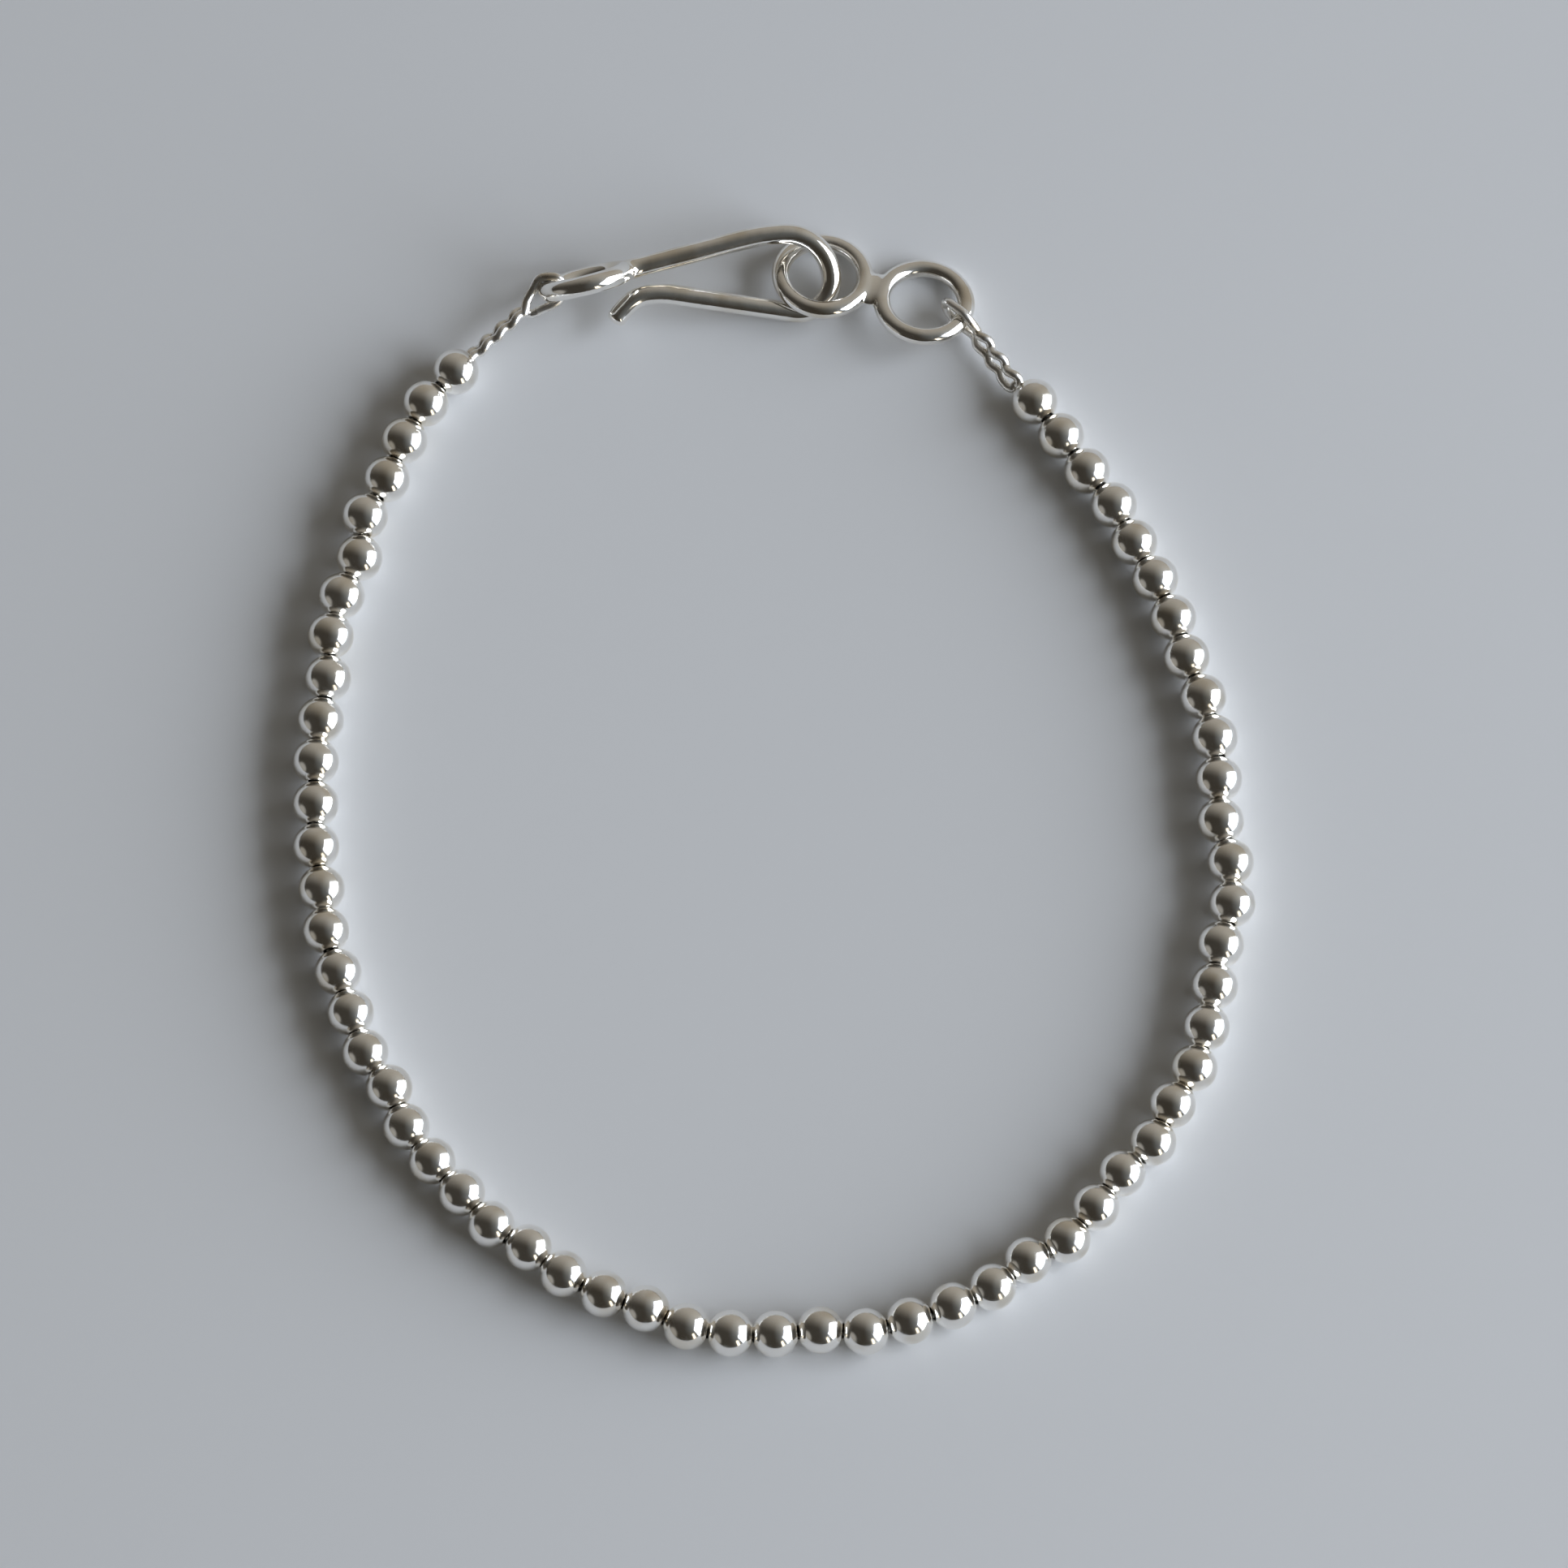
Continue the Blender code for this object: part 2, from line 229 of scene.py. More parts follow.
@dataclass(frozen=True)
class Melting:
    """How joined wires are run into one soldered body, with soft fillets at its joints.

    Attributes:
        voxel: Size of a voxel, in metres.
        reach: How far from a joint its fillet runs, in metres.
        waver: How far the hand-bent surface wavers in and out, in metres.
        ripple: Size of those wavers, in metres.
        fillet_passes: Rounds of smoothing at the joints.
        passes: Rounds of smoothing everywhere.
        strength: Strength of each round.
        enlarged: How many times its size the piece is worked on, because voxels have a smallest size.
    """

    voxel: float
    reach: float
    waver: float
    ripple: float = 0.0016
    fillet_passes: int = 120
    passes: int = 8
    strength: float = 0.5
    enlarged: float = 1000.0

    def run(self, piece: bpy.types.Object, joints: Sequence[Vector]) -> None:
        """Melt a piece.

        Args:
            piece: The joined wires and their solder.
            joints: Places of the solder.
        """
        take(piece)
        piece.scale = (self.enlarged, self.enlarged, self.enlarged)
        settle(piece)
        modify(piece, "REMESH", mode="VOXEL", voxel_size=self.voxel * self.enlarged, use_smooth_shade=True)
        near = piece.vertex_groups.new(name="solder")
        for vert in piece.data.vertices:
            gap = min((vert.co / self.enlarged - joint).length for joint in joints)
            if gap < self.reach:
                near.add([vert.index], min(1.0, 2.0 * (1.0 - gap / self.reach)), "REPLACE")
        modify(piece, "SMOOTH", factor=self.strength, iterations=self.fillet_passes, vertex_group=near.name)
        modify(piece, "SMOOTH", factor=self.strength, iterations=self.passes)
        clouds = bpy.data.textures.new(piece.name + "_waver", "CLOUDS")
        clouds.noise_scale = self.ripple * self.enlarged
        swing = 2.0 * self.enlarged * self.waver
        modify(piece, "DISPLACE", texture=clouds, texture_coords="LOCAL", strength=swing, mid_level=0.5)
        bpy.data.textures.remove(clouds)
        piece.vertex_groups.clear()
        shrunk = 1.0 / self.enlarged
        piece.scale = (shrunk, shrunk, shrunk)
        settle(piece)
        bpy.ops.object.shade_smooth()


# Finishes


def soft_step(
    tree: bpy.types.NodeTree, source: bpy.types.NodeSocket, low: float, high: float
) -> bpy.types.NodeSocket:
    """Add a soft step from 0 at the low value to 1 at the high one.

    Args:
        tree: The nodes of a material or of the room.
        source: Output that gives the value.
        low: Value where the step starts.
        high: Value where it ends.

    Returns:
        The step's output.
    """
    step = tree.nodes.new("ShaderNodeMapRange")
    step.interpolation_type = "SMOOTHSTEP"
    step.inputs["From Min"].default_value = low
    step.inputs["From Max"].default_value = high
    tree.links.new(source, step.inputs["Value"])
    return step.outputs["Result"]


@dataclass(frozen=True)
class SilverFinish:
    """Polished silver, with the faint haze, tarnish and scratches of a worn piece.

    Attributes:
        name: Name of the material.
        bright: Colour where it is well polished.
        tarnish: Colour where a little tarnish has formed.
        polish: Roughness where it is well polished.
        haze: Roughness where it is rubbed.
        scratch: Depth of its scratches, in metres.
        patch: How many patches of tarnish there are to a metre.
        stained: Values of the stains' noise between which tarnish sets in.
        rub: How many rubbed patches there are to a patch of tarnish.
        rubbed: Values of the rubs' noise between which it goes from polish to haze.
        scratches: How many scratches there are to a metre.
        scratch_turn: Turn of the scratches, in radians.
        scratch_stretch: Scale of the scratches' coordinates, low along their length.
        scratch_strength: How strongly they show.
    """

    name: str
    bright: tuple[float, float, float]
    tarnish: tuple[float, float, float]
    polish: float
    haze: float
    scratch: float
    patch: float
    stained: tuple[float, float] = (0.46, 0.72)
    rub: float = 3.1
    rubbed: tuple[float, float] = (0.35, 0.70)
    scratches: float = 14000.0
    scratch_turn: tuple[float, float, float] = (0.4, 0.9, 0.7)
    scratch_stretch: tuple[float, float, float] = (1.0, 0.12, 1.0)
    scratch_strength: float = 0.5

    def material(self) -> bpy.types.Material:
        """Make the finish as a node material.

        Returns:
            The material.
        """
        made = bpy.data.materials.new(self.name)
        made.use_nodes = True
        tree = made.node_tree
        shader = tree.nodes["Principled BSDF"]
        shader.inputs["Metallic"].default_value = 1.0
        place = tree.nodes.new("ShaderNodeTexCoord")

        stain = self.noise(tree, place, self.patch, detail=1.0)
        tone = soft_step(tree, stain, *self.stained)
        colour = tree.nodes.new("ShaderNodeMix")
        colour.data_type = "RGBA"
        colour.inputs["A"].default_value = (*self.bright, 1.0)
        colour.inputs["B"].default_value = (*self.tarnish, 1.0)
        tree.links.new(tone, colour.inputs["Factor"])
        tree.links.new(colour.outputs["Result"], shader.inputs["Base Color"])

        rub = self.noise(tree, place, self.patch * self.rub, detail=2.0)
        rough = tree.nodes.new("ShaderNodeMapRange")
        rough.inputs["From Min"].default_value = self.rubbed[0]
        rough.inputs["From Max"].default_value = self.rubbed[1]
        rough.inputs["To Min"].default_value = self.polish
        rough.inputs["To Max"].default_value = self.haze
        tree.links.new(rub, rough.inputs["Value"])
        tree.links.new(rough.outputs["Result"], shader.inputs["Roughness"])

        turned = tree.nodes.new("ShaderNodeMapping")
        turned.inputs["Rotation"].default_value = self.scratch_turn
        turned.inputs["Scale"].default_value = self.scratch_stretch
        tree.links.new(place.outputs["Object"], turned.inputs["Vector"])
        lines = self.noise(tree, turned, self.scratches, detail=0.0, output="Vector")
        bump = tree.nodes.new("ShaderNodeBump")
        bump.inputs["Strength"].default_value = self.scratch_strength
        bump.inputs["Distance"].default_value = self.scratch
        tree.links.new(lines, bump.inputs["Height"])
        tree.links.new(bump.outputs["Normal"], shader.inputs["Normal"])
        return made

    @staticmethod
    def noise(
        tree: bpy.types.NodeTree,
        source: bpy.types.Node,
        scale: float,
        detail: float,
        output: str = "Object",
    ) -> bpy.types.NodeSocket:
        """Add a noise pattern that reads a node's coordinates.

        Args:
            tree: The material's nodes.
            source: Node that gives the coordinates.
            scale: How many patches there are to a metre.
            detail: How many finer layers it has.
            output: Name of the output that gives the coordinates.

        Returns:
            The pattern's output.
        """
        pattern = tree.nodes.new("ShaderNodeTexNoise")
        pattern.inputs["Scale"].default_value = scale
        pattern.inputs["Detail"].default_value = detail
        tree.links.new(source.outputs[output], pattern.inputs["Vector"])
        return pattern.outputs["Fac"]


BEAD_FINISH = SilverFinish(
    "polished_beads",
    bright=(0.96, 0.94, 0.90), tarnish=(0.84, 0.79, 0.70),
    polish=0.12, haze=0.19, scratch=2.0e-7, patch=700.0,
)
HOOK_FINISH = SilverFinish(
    "polished_hook_wire",
    bright=(0.95, 0.93, 0.89), tarnish=(0.80, 0.74, 0.64),
    polish=0.09, haze=0.17, scratch=5.0e-7, patch=500.0,
)
RING_FINISH = SilverFinish(
    "polished_ring_wire",
    bright=(0.95, 0.93, 0.89), tarnish=(0.81, 0.75, 0.65),
    polish=0.09, haze=0.17, scratch=5.0e-7, patch=560.0,
)
LOOP_FINISH = SilverFinish(
    "fine_stringing_wire",
    bright=(0.93, 0.91, 0.87), tarnish=(0.76, 0.70, 0.60),
    polish=0.25, haze=0.35, scratch=6.0e-7, patch=900.0,
)


def dress(piece: bpy.types.Object, finish: SilverFinish, slot: str, *nodes: str) -> None:
    """Give a finished piece its material and its place in the frame.

    Args:
        piece: The finished piece.
        finish: Its finish.
        slot: The record's material slot; not used.
        *nodes: The solids that it stands for.
    """
    piece.data.materials.clear()
    piece.data.materials.append(finish.material())
    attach(piece, "root")
    if nodes:
        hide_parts(*nodes)
    log.info("%s: %d faces", piece.name, len(piece.data.polygons))


# Beads

# Middle of each bead in plan, in metres, from the hook's end round to the ring's end
BEAD_PLACES = (
    (-0.01706, 0.02344), (-0.01867, 0.02162), (-0.01980, 0.01949), (-0.02072, 0.01727),
    (-0.02188, 0.01517), (-0.02214, 0.01278), (-0.02308, 0.01063), (-0.02364, 0.00836),
    (-0.02375, 0.00595), (-0.02412, 0.00359), (-0.02435, 0.00126), (-0.02433, -0.00114),
    (-0.02427, -0.00351), (-0.02394, -0.00589), (-0.02369, -0.00822), (-0.02301, -0.01052),
    (-0.02232, -0.01277), (-0.02152, -0.01497), (-0.02022, -0.01692), (-0.01930, -0.01908),
    (-0.01791, -0.02097), (-0.01633, -0.02270), (-0.01477, -0.02445), (-0.01279, -0.02573),
    (-0.01093, -0.02716), (-0.00880, -0.02825), (-0.00658, -0.02905), (-0.00443, -0.03002),
    (-0.00211, -0.03040), (0.00025, -0.03043), (0.00263, -0.03022), (0.00500, -0.03030),
    (0.00733, -0.02971), (0.00960, -0.02889), (0.01171, -0.02786), (0.01356, -0.02640),
    (0.01563, -0.02529), (0.01717, -0.02349), (0.01857, -0.02162), (0.02022, -0.01994),
    (0.02128, -0.01786), (0.02245, -0.01583), (0.02312, -0.01359), (0.02358, -0.01130),
    (0.02393, -0.00899), (0.02457, -0.00673), (0.02451, -0.00439), (0.02401, -0.00209),
    (0.02394, 0.00025), (0.02375, 0.00260), (0.02316, 0.00489), (0.02229, 0.00715),
    (0.02160, 0.00939), (0.02065, 0.01160), (0.01955, 0.01367), (0.01847, 0.01580),
    (0.01704, 0.01775), (0.01566, 0.01975), (0.01423, 0.02171),
)


@dataclass
class BeadString:
    """Round drilled beads on one fine wire.

    Attributes:
        diameter: Diameter of a bead.
        bore: Diameter of the hole through it.
        rim: Width of the rolled edge of the hole.
        segments: Sides of a bead round its hole.
        bands: Bands of faces from hole to hole, before the ends are cut off.
        wire: Diameter of the wire.
        tilt: Largest turn of a bead off the string's line, in degrees.
        seed: Start of the beads' small differences.
        cut_touch: How near to a cut a vertex counts as on it.
        wire_end: How far along the string from an end bead's middle the wire's end lies.
    """

    diameter: float = 0.0025
    bore: float = 0.0009
    rim: float = 0.00005
    segments: int = 42
    bands: int = 32
    wire: float = 0.0005
    tilt: float = 2.5
    seed: int = 11
    cut_touch: float = 1.0e-7
    wire_end: float = 0.0004
    places: list[Vector] = field(init=False)
    headings: list[Vector] = field(init=False)

    def __post_init__(self) -> None:
        """Work out where each bead lies and which way its hole runs."""
        self.places = [Vector((x, y, self.diameter / 2.0)) for x, y in BEAD_PLACES]
        ends = [HOOK_LOOP.root, *self.places, RING_LOOP.root]
        self.headings = []
        for before, place, after in zip(ends, self.places, ends[2:]):
            way = (place - before).normalized() + (after - place).normalized()
            self.headings.append(Vector((way.x, way.y, 0.0)).normalized())

    def half_length(self) -> float:
        """Half the length of a bead along its hole."""
        return math.sqrt(self.diameter**2 - self.bore**2) / 2.0

    def model_bead(self) -> bpy.types.Object:
        """Model one bead at the origin, with its hole along X.

        Returns:
            The bead: a sphere cut off at both ends, with a hole through it and rolled rims.
        """
        deselect()
        bpy.ops.mesh.primitive_uv_sphere_add(
            segments=self.segments,
            ring_count=self.bands,
            radius=self.diameter / 2.0,
            location=(0.0, 0.0, 0.0),
            rotation=(0.0, math.pi / 2.0, 0.0),
        )
        bead = bpy.context.object
        bead.name = "bead"
        settle(bead)
        end = self.half_length()
        with editing(bead):
            for side in (-1.0, 1.0):
                bpy.ops.mesh.select_all(action="SELECT")
                bpy.ops.mesh.bisect(
                    plane_co=(side * end, 0.0, 0.0), plane_no=(side, 0.0, 0.0), clear_outer=True
                )
            pick(bead, lambda co: abs(co.x) > end - self.cut_touch)
            bpy.ops.mesh.bridge_edge_loops()
            pick(bead, lambda co: abs(co.x) > end - self.cut_touch)
            self.keep_rims()
            bpy.ops.mesh.bevel(offset=self.rim, segments=3, profile=0.5, affect="EDGES")
            bpy.ops.mesh.select_all(action="SELECT")
            bpy.ops.mesh.normals_make_consistent(inside=False)
        bpy.ops.object.shade_smooth()
        return bead

    def keep_rims(self) -> None:
        """Leave only the two rims selected, and not the edges along the hole."""
        mesh = bmesh.from_edit_mesh(bpy.context.object.data)
        for edge in mesh.edges:
            if edge.select and abs(edge.verts[0].co.x - edge.verts[1].co.x) > self.half_length():
                edge.select_set(False)
        bmesh.update_edit_mesh(bpy.context.object.data)

    def string_beads(self, bead: bpy.types.Object) -> bpy.types.Object:
        """Copy the bead to every place on the string, each a little different.

        Args:
            bead: The bead at the origin.

        Returns:
            All the beads as one piece.
        """
        chance = random.Random(self.seed)
        beads = []
        for place, heading in zip(self.places, self.headings):
            take(bead)
            bpy.ops.object.duplicate(linked=False)
            copy = bpy.context.object
            yaw = math.atan2(heading.y, heading.x) + math.radians(chance.uniform(-self.tilt, self.tilt))
            pitch = math.radians(chance.uniform(-self.tilt, self.tilt))
            roll = chance.uniform(0.0, 2.0 * math.pi)
            copy.rotation_euler = (roll, pitch, yaw)
            copy.location = place
            settle(copy)
            beads.append(copy)
        bpy.data.objects.remove(bead)
        return join(beads, "beads")

    def inner_wire(self) -> bpy.types.Object:
        """Draw the wire through all the beads.

        Returns:
            The wire, which ends inside the two end beads.
        """
        first = self.places[0] + self.wire_end * self.headings[0]
        last = self.places[-1] + self.wire_end * self.headings[-1]
        line = smooth_line([first, *self.places, last], steps=4)
        return drawn_wire("stringing_wire", line, self.wire)

    def build(self) -> None:
        """Make the beads and the wire through them."""
        dress(self.string_beads(self.model_bead()), BEAD_FINISH, "bead_silver", "bead_string")
        dress(self.inner_wire(), LOOP_FINISH, "loop_silver")


# Hook and figure-eight ring


@dataclass(frozen=True)
class Leg:
    """One straight length of a bent wire, and the bend that ends it.

    Attributes:
        straight: Length of the straight, in metres.
        radius: Radius of the bend's middle.
        turn: Turn of the bend in degrees, to the left if above zero.
    """

    straight: float
    radius: float
    turn: float


@dataclass(frozen=True)
class Ring:
    """A closed ring of round wire.

    Attributes:
        centre: Its middle.
        along: A direction in its plane.
        across: The direction in its plane at right angles to that.
        radius: Radius of the wire's middle.
        wire: Diameter of the wire.
    """

    centre: Vector
    along: Vector
    across: Vector
    radius: float
    wire: float

    def turn(self) -> Matrix:
        """Rotation from the X and Y axes to the ring's own two directions."""
        return Matrix((self.along, self.across, self.along.cross(self.across))).transposed()

    def clear_of(self, point: Vector, least: float) -> Vector:
        """Move a point off the ring's wire.

        Args:
            point: The point.
            least: Least distance from the middle of the wire.

        Returns:
            The point itself, or the nearest one that lies far enough.
        """
        outward = self.turn().transposed() @ (point - self.centre)
        level = Vector((outward.x, outward.y, 0.0)).normalized()
        nearest = self.centre + self.radius * (self.turn() @ level)
        gap = point - nearest
        return nearest + max(1.0, least / gap.length) * gap

    def model(self, name: str) -> bpy.types.Object:
        """Model the ring as a torus in its place.

        Args:
            name: Name of the piece.

        Returns:
            The ring.
        """
        deselect()
        bpy.ops.mesh.primitive_torus_add(
            align="WORLD",
            location=self.centre,
            rotation=self.turn().to_euler(),
            major_segments=96,
            minor_segments=24,
            major_radius=self.radius,
            minor_radius=self.wire / 2.0,
        )
        ring = bpy.context.object
        ring.name = name
        settle(ring)
        return ring


def solder(place: Vector, turn: Matrix, size: tuple[float, float, float]) -> bpy.types.Object:
    """Lump of solder that later melts into a joint.

    Args:
        place: Its middle.
        turn: Rotation of its three widths.
        size: Its three widths.

    Returns:
        The lump.
    """
    deselect()
    bpy.ops.mesh.primitive_uv_sphere_add(
        segments=24, ring_count=16, radius=0.5, location=place, rotation=turn.to_euler(), scale=size
    )
    lump = bpy.context.object
    settle(lump)
    return lump


@dataclass
class HookClasp:
    """Hook bent from one wire, with an eye soldered to the end of its shank.

    Attributes:
        wire: Diameter of the wire.
        sides: Sides of the wire before it is melted.
        arm: Length of the straight arm.
        arm_slope: Slope of the arm in its own plane, in degrees.
        bend: Radius of the bend that holds the ring.
        crown: Radius of the bend above it.
        sweep: Radius of the last gentle bend.
        sweep_turn: Turn of that bend, in degrees.
        shank: Length of the straight shank.
        shank_slope: Slope of the shank in its own plane, in degrees.
        place: Middle of the bend in plan.
        eye: Outer diameter of the eye.
        eye_lean: Lean of the eye towards -Y, in degrees.
        crossing: Share of the hook's width between the two crossings with the ring.
        step: Rise of the hook between its two crossings with the ring.
        lump: Widths of the solder between the shank and the eye.
        melting: How the wire, the eye and the solder are melted together.
        bend_step: Turn of one step of a bend, in degrees.
        bend_steps: Fewest steps of a bend.
        tip: The tip's bends from the arm outwards, ever tighter and then easier again.
        tip_end: Steps of its rounded end: how far each goes on, and the share of the width that it keeps.
    """

    wire: float = 0.0011
    sides: int = 24
    arm: float = 0.00652
    arm_slope: float = 8.7
    bend: float = 0.00178
    crown: float = 0.0025
    sweep: float = 0.0110
    sweep_turn: float = 12.0
    shank: float = 0.0066
    shank_slope: float = 14.3
    place: tuple[float, float] = (0.0015, 0.0287)
    eye: float = 0.0054
    eye_lean: float = 27.0
    crossing: float = 0.65
    step: float = 0.00115
    lump: tuple[float, float, float] = (0.0015, 0.0012, 0.0012)
    melting: Melting = Melting(voxel=0.00005, reach=0.0011, waver=0.000012)
    bend_step: float = 5.0
    bend_steps: int = 4
    tip: tuple[Leg, ...] = (
        Leg(0.0, 0.0061, 7.0), Leg(0.0, 0.0057, 6.5), Leg(0.0, 0.0019, 25.5), Leg(0.0, 0.0016, 11.5),
        Leg(0.0, 0.00475, 11.5), Leg(0.00014, 0.0, 0.0),
    )
    tip_end: tuple[tuple[float, float], ...] = (
        (0.00013, 0.94), (0.00011, 0.82), (0.00008, 0.65), (0.00003, 0.5), (0.00001, 0.4),
    )

    @property
    def eye_radius(self) -> float:
        """Radius of the middle of the eye's wire."""
        return (self.eye - self.wire) / 2.0

    def shank_way(self) -> Vector:
        """Direction of the shank in the hook's plane, towards the eye."""
        return -ahead(math.radians(self.shank_slope))

    def model_wire(self) -> tuple[bpy.types.Object, Vector]:
        """Bend the wire in its own plane, from the end of the shank to the tip.

        Returns:
            The wire, and the end of its shank. The middle of the bend is at the origin.
        """
        crown_turn = 90.0 + self.shank_slope - self.sweep_turn
        legs = (
            Leg(self.shank, self.sweep, -self.sweep_turn),
            Leg(0.0, self.crown, -crown_turn),
            Leg(0.0, self.bend, -90.0 - self.arm_slope),
            Leg(self.arm, 0.0, 0.0),
            *self.tip,
        )
        heading = math.radians(self.shank_slope)
        start = self.bend_start(legs[:2], heading)
        deselect()
        bpy.ops.mesh.primitive_circle_add(
            vertices=self.sides,
            radius=self.wire / 2.0,
            fill_type="NGON",
            location=start,
            rotation=(math.pi / 2.0, 0.0, heading + math.pi / 2.0),
        )
        wire = bpy.context.object
        wire.name = "hook"
        settle(wire)
        place = start.copy()
        with editing(wire):
            bpy.ops.mesh.select_all(action="SELECT")
            for leg in legs:
                place, heading = self.bend_leg(leg, place, heading)
            self.round_tip(place, heading)
            bpy.ops.mesh.select_all(action="SELECT")
            bpy.ops.mesh.normals_make_consistent(inside=False)
        return wire, start

    def bend_start(self, legs: Sequence[Leg], heading: float) -> Vector:
        """Find where the wire starts, so that the middle of its bend is at the origin.

        Args:
            legs: The legs before the bend.
            heading: Heading of the wire at its start, in radians.

        Returns:
            The end of the shank.
        """
        place = Vector((0.0, 0.0, 0.0))
        for leg in legs:
            radius = math.copysign(leg.radius, leg.turn)
            place += leg.straight * ahead(heading) + radius * left_of(heading)
            heading += math.radians(leg.turn)
            place -= radius * left_of(heading)
        return self.bend * left_of(heading) - place

    def bend_leg(self, leg: Leg, place: Vector, heading: float) -> tuple[Vector, float]:
        """Extrude the end of the wire straight on and spin it round its next bend.

        Args:
            leg: The straight and the bend.
            place: End of the wire.
            heading: Its heading, in radians.

        Returns:
            The new end and heading.
        """
        way = ahead(heading)
        if leg.straight > 0.0:
            bpy.ops.mesh.extrude_region_move(TRANSFORM_OT_translate={"value": leg.straight * way})
            place = place + leg.straight * way
        if leg.radius > 0.0:
            middle = place + math.copysign(leg.radius, leg.turn) * UP.cross(way)
            steps = max(self.bend_steps, round(abs(leg.turn) / self.bend_step))
            turn = math.radians(leg.turn)
            bpy.ops.mesh.spin(steps=steps, angle=-turn, center=middle, axis=(0.0, 0.0, 1.0))
            place = middle + Matrix.Rotation(turn, 3, "Z") @ (place - middle)
            heading += turn
        return place, heading

    def round_tip(self, place: Vector, heading: float) -> None:
        """Close the wire with a rounded end.

        Args:
            place: End of the wire.
            heading: Its heading, in radians.
        """
        way = ahead(heading)
        for reach, keep in self.tip_end:
            bpy.ops.mesh.extrude_region_move(TRANSFORM_OT_translate={"value": reach * way})
            place = place + reach * way
            bpy.ops.transform.resize(value=(keep, keep, keep), center_override=place)

    def eye_ring(self, shank_end: Vector, turn: Matrix) -> Ring:
        """Find the eye's place on the end of the shank.

        Args:
            shank_end: End of the shank in the hook's own plane.
            turn: Rotation of that plane.

        Returns:
            The eye, with the middle of the hook's bend still at the origin.
        """
        radius = self.eye_radius
        along = turn @ self.shank_way()
        lean = math.radians(self.eye_lean)
        upright = Vector((0.0, -math.sin(lean), math.cos(lean)))
        upright = (upright - upright.dot(along) * along).normalized()
        return Ring(turn @ shank_end + radius * along, along, upright, radius, self.wire)

    def plane_turn(self, shank_end: Vector) -> Matrix:
        """Find the rotation that lays the bend on the floor and lifts the shank to the eye.

        Args:
            shank_end: End of the shank in the hook's own plane.

        Returns:
            The rotation of the hook's plane.
        """
        eye_place = shank_end + self.eye_radius * self.shank_way()
        lean = math.asin(self.step / ((self.bend + self.crown) * self.crossing))
        eye_height = self.eye_radius * math.cos(math.radians(self.eye_lean))
        rise = eye_height - self.bend * math.sin(lean) - eye_place.y * math.sin(lean)
        pitch = math.asin(rise / abs(eye_place.x))
        return Matrix.Rotation(lean, 3, "X") @ Matrix.Rotation(pitch, 3, "Y")

    def build(self) -> Ring:
        """Make the hook with its soldered eye.

        Returns:
            The eye, which the string's wire holds.
        """
        wire, shank_end = self.model_wire()
        turn = self.plane_turn(shank_end)
        wire.rotation_euler = turn.to_euler()
        settle(wire)
        eye = self.eye_ring(shank_end, turn)
        joint = eye.centre - (eye.radius + self.wire / 2.0) * eye.along
        lump = solder(joint, eye.turn(), self.lump)
        hook = join([wire, eye.model("eye"), lump], "hook_and_eye")
        self.melting.run(hook, [joint])
        low = min(vert.co.z for vert in hook.data.vertices)
        place = Vector((*self.place, -low))
        hook.location = place
        settle(hook)
        dress(hook, HOOK_FINISH, "hook_silver", "hook")
        return replace(eye, centre=eye.centre + place)


@dataclass
class FigureEight:
    """Two rings of wire soldered side by side.

    Attributes:
        wire: Diameter of the wire.
        diameter: Outer diameter of each ring.
        gap: Gap between the two rings, which the solder fills.
        turn: Turn of the pair about Z, in degrees.
        slip: First ring's middle, from the middle of the hook's bend.
        crossing: Share of the ring's diameter between the two crossings with the hook.
        step: Rise of the first ring between its two crossings with the hook.
        web: Widths of the solder between the rings.
        web_turn: Turn of the solder in the rings' plane, in degrees.
        melting: How the rings and the solder are melted together.
    """

    wire: float = 0.00095
    diameter: float = 0.00555
    gap: float = 0.00015
    turn: float = -15.5
    slip: tuple[float, float] = (0.0013, 0.0003)
    crossing: float = 0.95
    step: float = 0.0013
    web: tuple[float, float, float] = (0.0019, 0.0023, 0.00068)
    web_turn: float = -16.0
    melting: Melting = Melting(voxel=0.000045, reach=0.0013, waver=0.000010)

    def rings(self, hook: HookClasp) -> tuple[Ring, Ring]:
        """Find the places of the two rings.

        Args:
            hook: The hook that passes through the first.

        Returns:
            The ring round the hook, and the ring that the string's wire holds.
        """
        radius = (self.diameter - self.wire) / 2.0
        lean = math.asin(self.step / (2.0 * radius * self.crossing))
        turn = math.radians(self.turn)
        along = Vector((math.cos(turn), math.sin(turn), 0.0))
        across = math.cos(lean) * UP.cross(along) - math.sin(lean) * UP
        height = radius * math.sin(lean) + self.wire / 2.0
        centre = Vector((hook.place[0] + self.slip[0], hook.place[1] + self.slip[1], height))
        first = Ring(centre, along, across, radius, self.wire)
        second = Ring(centre + (self.diameter + self.gap) * along, along, across, radius, self.wire)
        return first, second

    def build(self, hook: HookClasp) -> Ring:
        """Make both rings and the solder between them.

        Args:
            hook: The hook that passes through the first.

        Returns:
            The second ring, which the string's wire holds.
        """
        first, second = self.rings(hook)
        middle = (first.centre + second.centre) / 2.0
        web_turn = first.turn() @ Matrix.Rotation(math.radians(self.web_turn), 3, "Z")
        web = solder(middle, web_turn, self.web)
        ring = join([first.model("first_ring"), second.model("second_ring"), web], "figure_eight")
        self.melting.run(ring, [middle])
        drop = Vector((0.0, 0.0, -min(vert.co.z for vert in ring.data.vertices)))
        ring.location = drop
        settle(ring)
        dress(ring, RING_FINISH, "ring_silver", "figure_eight_ring")
        return replace(second, centre=second.centre + drop)


# Loops of fine wire


class Hand(Enum):
    """Hand of a twist."""

    LEFT = -1.0
    RIGHT = 1.0


